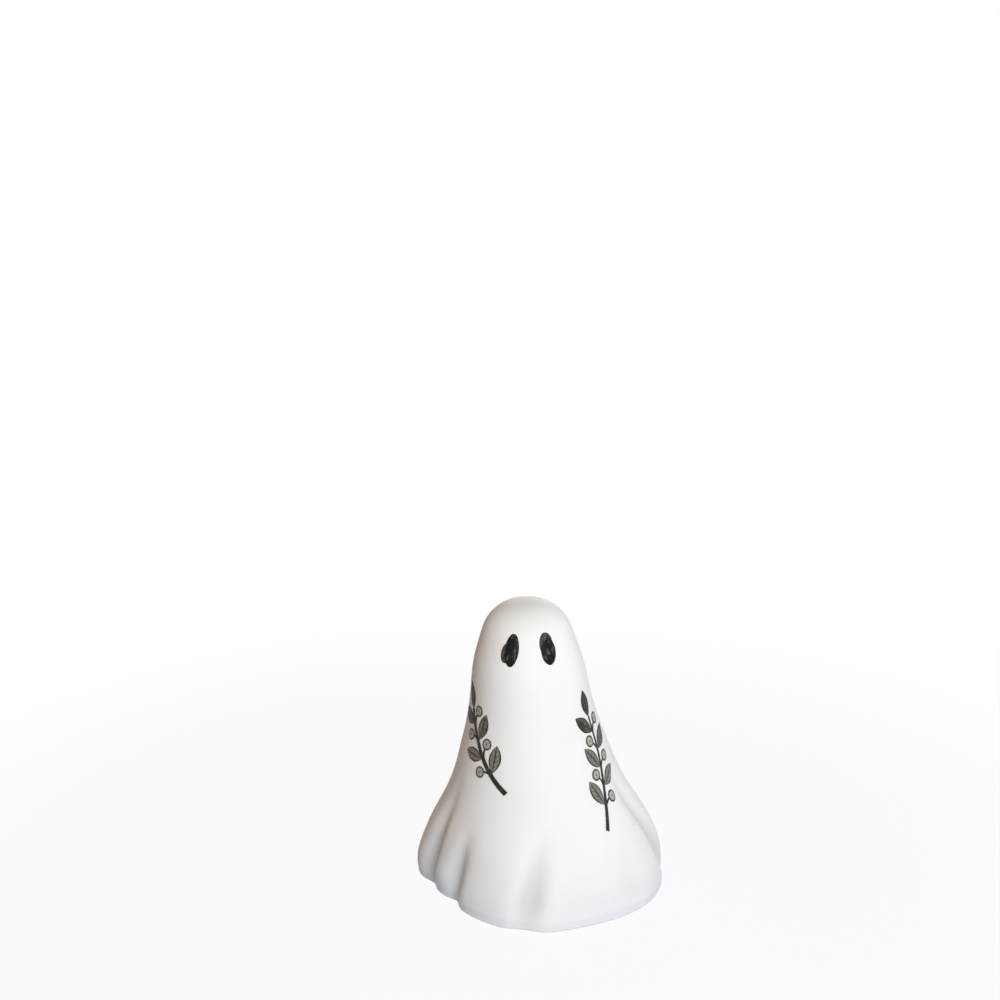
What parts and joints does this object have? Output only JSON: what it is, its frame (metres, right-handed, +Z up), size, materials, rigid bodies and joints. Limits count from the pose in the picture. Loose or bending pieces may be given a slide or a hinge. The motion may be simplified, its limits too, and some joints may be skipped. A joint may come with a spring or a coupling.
{
  "type": "ceramic ghost figure",
  "caption": "Small hollow ceramic ghost in a draped sheet, white glaze, black oval eyes and a dark leafy spray on each flank.",
  "frame": {"origin": "centre of the footprint's bounding box, on the surface that the figure stands on", "axes": "+Z up through the crown, -Y out of the face, +X to the right as seen from the front"},
  "size_m": [0.0852, 0.0782, 0.1],
  "materials": {
    "white_glaze": "satin",
    "black_glaze": "satin",
    "dark_ink": "satin",
    "grey_ink": "satin",
    "pale_ink": "satin"
  },
  "bodies": {
    "root": {"ghost_shell": "white_glaze", "left_eye": "black_glaze", "right_eye": "black_glaze", "left_spray_stems": "dark_ink", "left_spray_leaves": "grey_ink", "left_spray_berries": "pale_ink", "right_spray_stems": "dark_ink", "right_spray_leaves": "grey_ink", "right_spray_berries": "pale_ink"}
  },
  "joints": []
}
